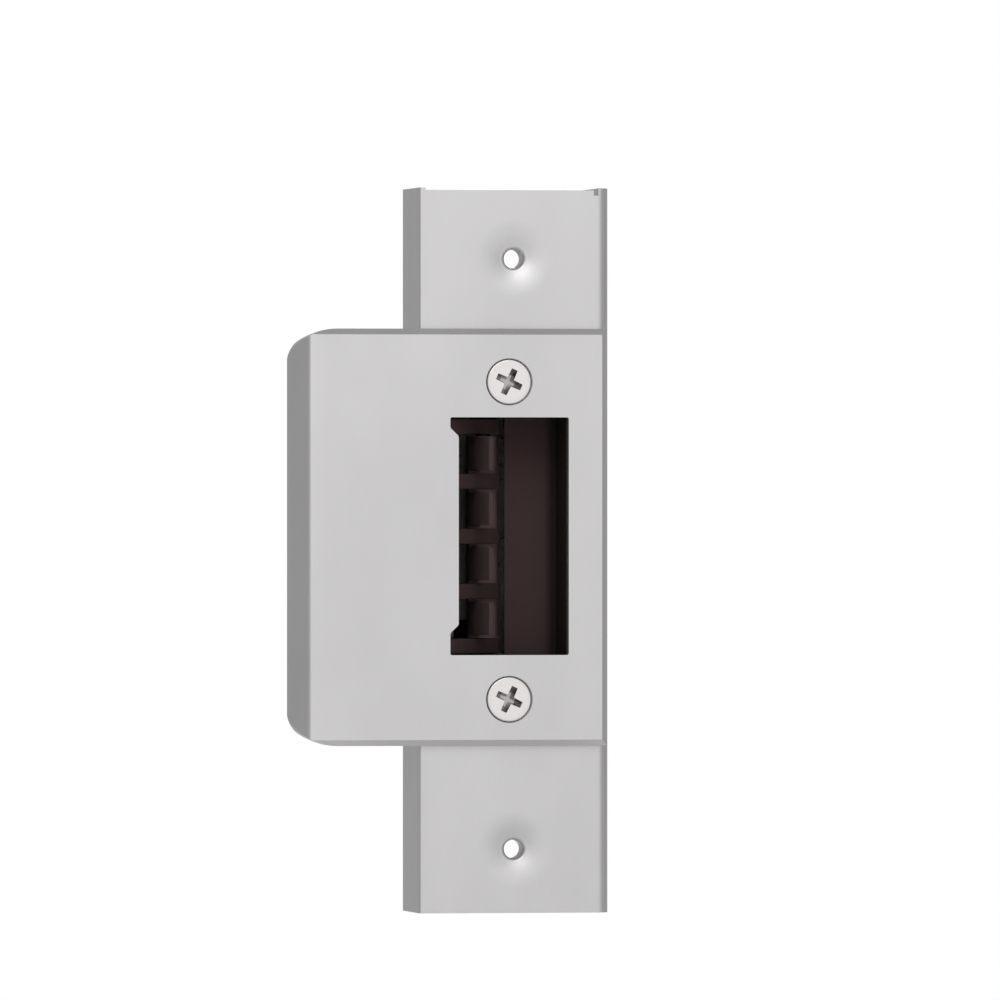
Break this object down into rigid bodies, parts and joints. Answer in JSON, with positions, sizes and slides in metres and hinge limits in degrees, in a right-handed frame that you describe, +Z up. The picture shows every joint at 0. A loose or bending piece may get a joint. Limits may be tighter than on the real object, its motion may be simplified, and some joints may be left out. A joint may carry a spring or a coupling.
{
  "type": "electric door strike",
  "caption": "Electric door strike: channel-mounted face plate with a bent lip, a latch pocket with fixed ramp ribs, a pivoting keeper and a solenoid lock behind it.",
  "frame": {"origin": "centre of the mounting channel's web, on its back face, which is the seat plane", "axes": "+X right and +Z up as seen from the front, the front faces -Y, the channel runs along Z"},
  "size_m": [0.0554, 0.0357, 0.1238],
  "materials": {
    "satin_steel": "satin stainless sheet, fine even grain",
    "screw_steel": "bright turned stainless",
    "dark_bronze": "dark brown painted, dull",
    "zinc_casting": "grey zinc die casting, dull",
    "plated_steel": "zinc plated steel",
    "spring_steel": "spring steel wire",
    "rubber_black": "matt black rubber",
    "nylon_white": "natural nylon",
    "copper_wire": "enamelled copper wire",
    "board_green": "green solder mask",
    "diode_black": "black moulded body",
    "terminal_green": "moulded green plastic",
    "brass": "turned brass"
  },
  "bodies": {
    "strike_body": {"mounting_channel": "satin_steel", "lip_plate": "satin_steel", "face_screw_upper": "screw_steel", "face_screw_lower": "screw_steel", "pocket_liner": "dark_bronze", "ramp_block": "dark_bronze", "housing": "zinc_casting", "rear_cover": "plated_steel", "cover_screw_upper_left": "plated_steel", "cover_screw_upper_right": "plated_steel", "cover_screw_lower_left": "plated_steel", "cover_screw_lower_right": "plated_steel", "keeper_pivot_pin": "plated_steel", "lever_pivot_pin": "plated_steel", "solenoid_frame": "plated_steel", "pole_piece": "plated_steel", "solenoid_screw_left": "plated_steel", "solenoid_screw_right": "plated_steel", "board_screw_left": "plated_steel", "board_screw_right": "plated_steel", "pivot_pin_clip": "spring_steel", "keeper_return_spring": "spring_steel", "plunger_spring": "spring_steel", "keeper_bumper": "rubber_black", "lever_spacer_left": "nylon_white", "lever_spacer_right": "nylon_white", "solenoid_bobbin": "nylon_white", "solenoid_coil": "copper_wire", "circuit_board": "board_green", "suppression_diode": "diode_black", "terminal_block": "terminal_green", "terminal_screw_left": "brass", "terminal_screw_right": "brass"},
    "keeper": {"keeper": "dark_bronze"},
    "plunger": {"solenoid_plunger": "plated_steel", "plunger_link_pin": "plated_steel"},
    "locking_lever": {"locking_lever": "plated_steel"}
  },
  "joints": [
    {"name": "keeper_pivot", "type": "hinge", "parent": "strike_body", "child": "keeper", "pos_m": [-0.0025, 0.015, 0], "axis": [0, 0, -1], "range_deg": [0, 25], "stiffness_Nm_per_rad": 0.02, "springref_deg": -20.05, "deforming": ["keeper_return_spring"]},
    {"name": "plunger_slide", "type": "slide", "parent": "strike_body", "child": "plunger", "axis": [0, 0, -1], "range_m": [0, 0.0023], "stiffness_N_per_m": 250, "springref_m": -0.003, "deforming": ["plunger_spring"]},
    {"name": "lever_pivot", "type": "hinge", "parent": "strike_body", "child": "locking_lever", "pos_m": [-0.00065, 0.018, -0.023], "axis": [1, 0, 0], "range_deg": [0, 18]}
  ],
  "couplings": [
    {"joint": "lever_pivot", "follows": "plunger_slide", "rad_per_m": 136}
  ]
}
